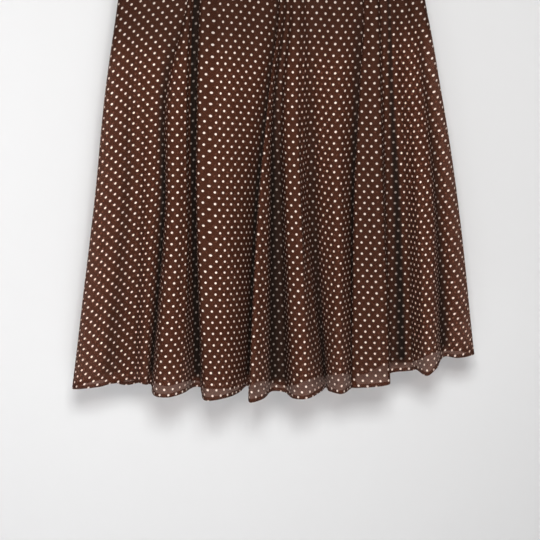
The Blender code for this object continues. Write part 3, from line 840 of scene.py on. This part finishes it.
class SKIRT_OT_seams(bpy.types.Operator):
    """Makes the narrow finished seams behind the joins of the gores"""

    bl_idname = "skirt.seams"
    bl_label = "Seams"

    def execute(self, context):
        sizes, looks = context.scene.skirt_sizes, context.scene.skirt_looks
        cloth = chiffon("seam_chiffon", looks, sizes)
        for k, (side, place) in enumerate(SEAMS):
            grid = seam_grid(side, place, sizes)
            name = f"seam_{side}_{k}"
            piece = add_piece(name, mesh_from_grid(name, grid), cloth, "chiffon")
            thicken(piece, sizes.wall)
        return {"FINISHED"}


def lining_row(share, front):
    """One level of the lining's front or back: a flat run between two quarter turns."""
    side = OVER_FRONT[-1]
    widths = (side.waist, side.hip, side.thigh, side.knee, side.hem)
    quarter = [math.pi / 2 * k / LINING_FACES for k in range(LINING_FACES + 1)]
    flat = [(k / LINING_FACES * 2 - 1, None) for k in range(1, LINING_FACES)]
    turns = [(-1, angle) for angle in quarter] + flat + [(1, angle) for angle in quarter[::-1]]
    row = []
    for end, angle in turns:
        height = lerp(LINING_TOP, lerp(LINING_CENTRE, LINING_SIDE, end * end), share)
        away = lerp(*LINING_BEHIND, share)
        before = front_plane(height) + lerp(TUCK_AT_WAIST, TUCK_AT_HEM, height) + away
        behind = back_plane(height) - away
        radius = (behind - before) / 2
        turn = through_heights(widths, height) * MM - LINING_INSET - radius
        if angle is None:
            x, depth = end * turn, radius
        else:
            x, depth = end * (turn + radius * math.cos(angle)), radius * math.sin(angle)
        wave = LINING_WAVE * math.sin(x / LINING_WAVE_LENGTH + share * LINING_WAVE_LEAN) * share
        y = (before + behind) / 2 + (-depth + wave if front else depth + wave)
        row.append(np.array((x, y, SHELL_TOP - SHELL_LENGTH * height)))
    return row


class SKIRT_OT_lining(bpy.types.Operator):
    """Makes the short plain lining that hangs inside from the waistband"""

    bl_idname = "skirt.lining"
    bl_label = "Lining"

    def execute(self, context):
        sizes, looks = context.scene.skirt_sizes, context.scene.skirt_looks
        cloth = lining_cloth(looks)
        for node, front in (("lining_front", True), ("lining_back", False)):
            levels = [lining_row(k / LINING_ROWS, front) for k in range(LINING_ROWS + 1)]
            grid = [[(point, float(point[0]), -float(point[2]), 0.0, 0.0) for point in level]
                    for level in levels]
            piece = add_piece(node + "_cloth", mesh_from_grid(node + "_cloth", grid), cloth,
                              "lining", node)
            thicken(piece, LINING_WALL)
            lengths = grid_lengths(grid)
        return {"FINISHED"}


def band_line():
    """The waistband's middle line in plan: under end, left side, back, right side, over end."""
    radius = (BACK_AT_WAIST - FRONT_AT_WAIST) / 2
    middle = FRONT_AT_WAIST + radius
    under = FRONT_AT_WAIST + TUCK_AT_WAIST + BAND_UNDER_EASE
    turn = BAND_HALF_WIDTH - radius
    bow = [math.pi * k / BOW_FACES for k in range(BOW_FACES + 1)]
    corners = [(BAND_UNDER_END, under), (BAND_UNDER_START, under), (BAND_STEP_END, FRONT_AT_WAIST)]
    corners += [(-turn - radius * math.sin(a), middle - radius * math.cos(a)) for a in bow]
    corners += [(turn + radius * math.sin(a), middle + radius * math.cos(a)) for a in bow]
    corners += [(BAND_OVER_END, FRONT_AT_WAIST)]
    return [Vector((x, y, 0)) for x, y in corners]


def along_line(corners, step):
    """Points and directions every step along a line, both ends included."""
    lengths = [0.0]
    for a, b in zip(corners, corners[1:]):
        lengths.append(lengths[-1] + (b - a).length)
    count = max(1, round(lengths[-1] / step))
    places = []
    for k in range(count + 1):
        length = lengths[-1] * k / count
        piece = max(j for j in range(len(corners) - 1) if lengths[j] <= length + 1e-9)
        share = (length - lengths[piece]) / (lengths[piece + 1] - lengths[piece])
        direction = (corners[piece + 1] - corners[piece]).normalized()
        places.append((corners[piece].lerp(corners[piece + 1], share), direction, length))
    return places


def add_stitch(body, centre, along, length):
    """A short thread that dips into the cloth at both ends."""
    made = bmesh.ops.create_uvsphere(body, u_segments=6, v_segments=5, radius=1.0)
    across, up = Vector((0, 0, 1)).cross(along), Vector((0, 0, 1))
    for vertex in made["verts"]:
        x, y, z = vertex.co
        vertex.co = centre + along * (x * length / 2) + (across * y + up * z) * STITCH_THREAD


class SKIRT_OT_waistband(bpy.types.Operator):
    """Makes the waistband with two rows of stitches"""

    bl_idname = "skirt.waistband"
    bl_label = "Waistband"

    def execute(self, context):
        sizes, looks = context.scene.skirt_sizes, context.scene.skirt_looks
        places = along_line(band_line(), BAND_STEP)
        grid = []
        for k in range(BAND_ROWS + 1):
            share = k / BAND_ROWS
            z = BAND_TOP - BAND_HEIGHT * share
            row = []
            for point, direction, length in places:
                out = Vector((direction.y, -direction.x, 0))
                pucker = PUCKER * math.sin(length / PUCKER_LENGTH) * abs(2 * share - 1)
                spot = point - out * pucker
                row.append((np.array((spot.x, spot.y, z)), length, share * BAND_HEIGHT, 0.0, 0.0))
            grid.append(row)
        cloth = chiffon("band_chiffon", looks, sizes, opaque=True)
        band = add_piece("waistband_cloth", mesh_from_grid("waistband_cloth", grid), cloth,
                         "chiffon", "waistband")
        thicken(band, BAND_WALL)
        rounded = band.modifiers.new("rounded", "BEVEL")
        rounded.width = BAND_ROUNDING
        rounded.segments = 2
        rounded.limit_method = "ANGLE"
        self.stitches(sizes, looks)
        return {"FINISHED"}

    def stitches(self, sizes, looks):
        body = bmesh.new()
        for z in (BAND_TOP - STITCH_INSET, BAND_TOP - BAND_HEIGHT + STITCH_INSET):
            for point, direction, length in along_line(band_line(), sizes.stitch_pitch):
                if length < FIRST_STITCH:
                    continue
                out = Vector((direction.y, -direction.x, 0))
                centre = point + out * (BAND_WALL / 2) + Vector((0, 0, z))
                add_stitch(body, centre, direction, sizes.stitch)
        mesh = mesh_from_body("waistband_stitches", body)
        add_piece("waistband_stitches", mesh, thread(looks), "chiffon")


class SKIRT_OT_button(bpy.types.Operator):
    """Makes the button with its four holes and its crossed thread"""

    bl_idname = "skirt.button"
    bl_label = "Button"

    def execute(self, context):
        looks = context.scene.skirt_looks
        low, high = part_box("button")
        centre = (Vector(low) + Vector(high)) / 2
        radius = (high[0] - low[0]) / 2
        back = high[1]
        thickness = high[1] - low[1]
        disc = bpy.data.curves.new("button_disc", "CURVE")
        disc.dimensions = "2D"
        disc.fill_mode = "BOTH"
        disc.extrude = thickness * DISC_HALF
        disc.bevel_depth = thickness * DISC_ROUNDING
        disc.bevel_resolution = 2
        hole = radius * HOLE_PLACE
        rings = [(0.0, 0.0, radius * DISC_RADIUS, RIM_STEPS)]
        rings += [(x * hole, y * hole, radius * HOLE_RADIUS, HOLE_STEPS)
                  for x in (-1, 1) for y in (-1, 1)]
        for x, y, ring, count in rings:
            line = disc.splines.new("POLY")
            line.points.add(count - 1)
            for k, point in enumerate(line.points):
                angle = 2 * math.pi * k / count
                point.co = (x + ring * math.cos(angle), y + ring * math.sin(angle), 0, 1)
            line.use_cyclic_u = True
        plastic = button_plastic(looks)
        turned = bpy.data.objects.new("button_turned", disc)
        bpy.context.scene.collection.objects.link(turned)
        shape = bpy.data.meshes.new_from_object(
            turned.evaluated_get(bpy.context.evaluated_depsgraph_get()))
        bpy.data.objects.remove(turned)
        body = bmesh.new()
        body.from_mesh(shape)
        bmesh.ops.remove_doubles(body, verts=body.verts, dist=0.00001)
        for vertex in body.verts:
            x, y, z = vertex.co
            vertex.co = (centre.x + x, back - thickness * DISC_PLACE - z, centre.z + y)
        self.add_rim(body, centre, back - thickness * RIM_PLACE, radius, thickness * RIM_RADIUS)
        bmesh.ops.recalc_face_normals(body, faces=body.faces)
        piece = add_piece("button_shape", mesh_from_body("button_shape", body), plastic,
                          "button", "button")
        edges = piece.modifiers.new("edges", "EDGE_SPLIT")
        edges.split_angle = math.radians(SHARP_ANGLE)
        self.sew_on(looks, centre, hole, back - thickness * THREAD_PLACE)
        return {"FINISHED"}

    def add_rim(self, body, centre, y, radius, tube):
        """A raised ring round the button's edge."""
        rim = []
        for k in range(RIM_STEPS):
            angle = 2 * math.pi * k / RIM_STEPS
            for j in range(RIM_TUBE_STEPS):
                turn = 2 * math.pi * j / RIM_TUBE_STEPS
                out = radius - tube + tube * math.cos(turn)
                rim.append(body.verts.new((centre.x + out * math.cos(angle),
                                           y + tube * RIM_BULGE * math.sin(turn),
                                           centre.z + out * math.sin(angle))))
        for k in range(RIM_STEPS):
            for j in range(RIM_TUBE_STEPS):
                corners = [rim[(k + a) % RIM_STEPS * RIM_TUBE_STEPS + (j + b) % RIM_TUBE_STEPS]
                           for a, b in ((0, 0), (0, 1), (1, 1), (1, 0))]
                body.faces.new(corners)

    def sew_on(self, looks, centre, hole, y):
        """Two pairs of threads that cross between the holes."""
        body = bmesh.new()
        for tilt in (1, -1):
            for side in (-CROSS_SPACING, CROSS_SPACING):
                along = Vector((1, 0, tilt)).normalized()
                across = Vector((-along.z, 0, along.x))
                middle = Vector((centre.x, y - CROSS_OUT, centre.z)) + across * side
                made = bmesh.ops.create_uvsphere(body, u_segments=8, v_segments=7, radius=1.0)
                for vertex in made["verts"]:
                    x, depth, z = vertex.co
                    vertex.co = (middle + along * (x * hole * CROSS_LENGTH)
                                 + across * (z * CROSS_WIDTH) + Vector((0, depth * CROSS_DEPTH, 0)))
        add_piece("button_thread", mesh_from_body("button_thread", body), thread(looks), "button")


class SKIRT_OT_hanger(bpy.types.Operator):
    """Gives the hanger's bar and hook their satin steel, and its clips a duller one"""

    bl_idname = "skirt.hanger"
    bl_label = "Hanger"

    def execute(self, context):
        looks = context.scene.skirt_looks
        satin = steel("satin_steel", looks.steel, looks.steel_dull, 0.24)
        brushed = steel("brushed_steel", looks.clip, looks.clip_dull, 0.50)
        metals = {"hanger_bar": satin, "hanger_hook": satin, "clip_left": brushed,
                  "clip_right": brushed}
        for node, metal in metals.items():
            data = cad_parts[node].data
            data.materials.clear()
            data.materials.append(metal)
            data.shade_smooth()
            data.set_sharp_from_angle(angle=math.radians(SHARP_ANGLE))
        return {"FINISHED"}


# --- the stage ---
# The key light throws the hem's shadow just below it. The front light makes the wall a little
# brighter at the left, and spread is the angle of a light's beam. The back light is for views
# from behind.
Lamp = namedtuple("Lamp", "name place aim size power spread colour")
LAMPS = (
    Lamp("key_light", (0.03, -2.10, 0.13), (0.00, 0.0, -0.72), 0.34, 43, 180, (1.0, 0.99, 0.97)),
    Lamp("front_light", (-0.10, -2.6, -0.60), (-0.62, 0.0, -0.72), 1.1, 6.2, 68, (0.985, 0.99, 1.0)),
    Lamp("back_light", (0.50, 2.00, -0.10), (0.00, 0.0, -0.60), 1.5, 38, 180, (1.0, 1.0, 1.0)),
)
SKY = 0.13                  # strength of the light from all round
SKY_COLOUR = (0.97, 0.98, 1.0, 1)
WALL_PAINT = (0.68, 0.68, 0.686)
FLOOR_PAINT = (0.64, 0.64, 0.646)
CAMERA_DISTANCE = 2.2
CAMERA_PITCH = math.radians(13)
FRAME_WIDTH = 0.756         # of the picture, where its middle meets the skirt
AIM = Vector((0, 0, -0.7231))
STAGE_WIDTH, WALL_HEIGHT, FLOOR_DEPTH = 8, 6, 5
WALL_Y, WALL_MIDDLE = 0.17, 0.5
FLOOR_Z = -1.35


class SKIRT_OT_stage(bpy.types.Operator):
    """Makes the wall, the floor, the soft light and the camera"""

    bl_idname = "skirt.stage"
    bl_label = "Stage"

    def execute(self, context):
        scene = context.scene
        upright = (math.radians(90), 0, 0)
        self.plane("wall", STAGE_WIDTH, WALL_HEIGHT, (0, WALL_Y, WALL_MIDDLE), upright,
                   plaster("wall_plaster", WALL_PAINT))
        self.plane("floor", STAGE_WIDTH, FLOOR_DEPTH, (0, WALL_Y - FLOOR_DEPTH / 2, FLOOR_Z), (0, 0, 0),
                   plaster("floor_plaster", FLOOR_PAINT))
        for lamp in LAMPS:
            self.light(lamp)
        world = scene.world or bpy.data.worlds.new("sky")
        scene.world = world
        world.use_nodes = True
        sky = world.node_tree.nodes["Background"]
        sky.inputs["Color"].default_value = SKY_COLOUR
        sky.inputs["Strength"].default_value = SKY
        scene.view_settings.view_transform = "Standard"
        self.camera(scene)
        return {"FINISHED"}

    def plane(self, name, width, depth, place, turn, material):
        bpy.ops.mesh.primitive_grid_add(x_subdivisions=4, y_subdivisions=4, size=1,
                                        location=place, rotation=turn)
        thing = bpy.context.active_object
        thing.name = name
        thing.scale = (width, depth, 1)
        thing.data.materials.append(material)

    def light(self, lamp):
        data = bpy.data.lights.new(lamp.name, "AREA")
        data.size = lamp.size
        data.energy = lamp.power
        data.color = lamp.colour
        data.spread = math.radians(lamp.spread)
        thing = bpy.data.objects.new(lamp.name, data)
        thing.location = lamp.place
        towards = Vector(lamp.aim) - Vector(lamp.place)
        thing.rotation_euler = towards.to_track_quat("-Z", "Y").to_euler()
        bpy.context.scene.collection.objects.link(thing)

    def camera(self, scene):
        data = bpy.data.cameras.new("camera")
        data.angle = 2 * math.atan(FRAME_WIDTH / 2 / CAMERA_DISTANCE)
        thing = bpy.data.objects.new("camera", data)
        back = Vector((0, -math.cos(CAMERA_PITCH), math.sin(CAMERA_PITCH)))
        thing.location = AIM + back * CAMERA_DISTANCE
        thing.rotation_euler = (math.radians(90) - CAMERA_PITCH, 0, 0)
        scene.collection.objects.link(thing)
        scene.camera = thing


OPERATORS = (SKIRT_OT_stage, SKIRT_OT_gores, SKIRT_OT_seams, SKIRT_OT_lining,
             SKIRT_OT_waistband, SKIRT_OT_button, SKIRT_OT_hanger)


class SKIRT_PT_pieces(bpy.types.Panel):
    """Lists the pieces of the skirt in the sidebar"""

    bl_idname = "SKIRT_PT_pieces"
    bl_label = "Wrap skirt"
    bl_space_type = "VIEW_3D"
    bl_region_type = "UI"
    bl_category = "Skirt"

    def draw(self, context):
        for operator in OPERATORS:
            self.layout.operator(operator.bl_idname)
        for group in (context.scene.skirt_sizes, context.scene.skirt_looks):
            box = self.layout.box()
            for name in group.bl_rna.properties.keys():
                if name not in ("rna_type", "name"):
                    box.prop(group, name)


CLASSES = (SkirtSizes, SkirtLooks, *OPERATORS, SKIRT_PT_pieces)


def register():
    for made in CLASSES:
        bpy.utils.register_class(made)
    bpy.types.Scene.skirt_sizes = PointerProperty(type=SkirtSizes)
    bpy.types.Scene.skirt_looks = PointerProperty(type=SkirtLooks)


def unregister():
    del bpy.types.Scene.skirt_sizes
    del bpy.types.Scene.skirt_looks
    for made in reversed(CLASSES):
        bpy.utils.unregister_class(made)


def main():
    register()
    bpy.ops.skirt.stage()
    bpy.ops.skirt.gores()
    bpy.ops.skirt.seams()
    bpy.ops.skirt.lining()
    bpy.ops.skirt.waistband()
    bpy.ops.skirt.button()
    bpy.ops.skirt.hanger()


if __name__ == "__main__":
    main()
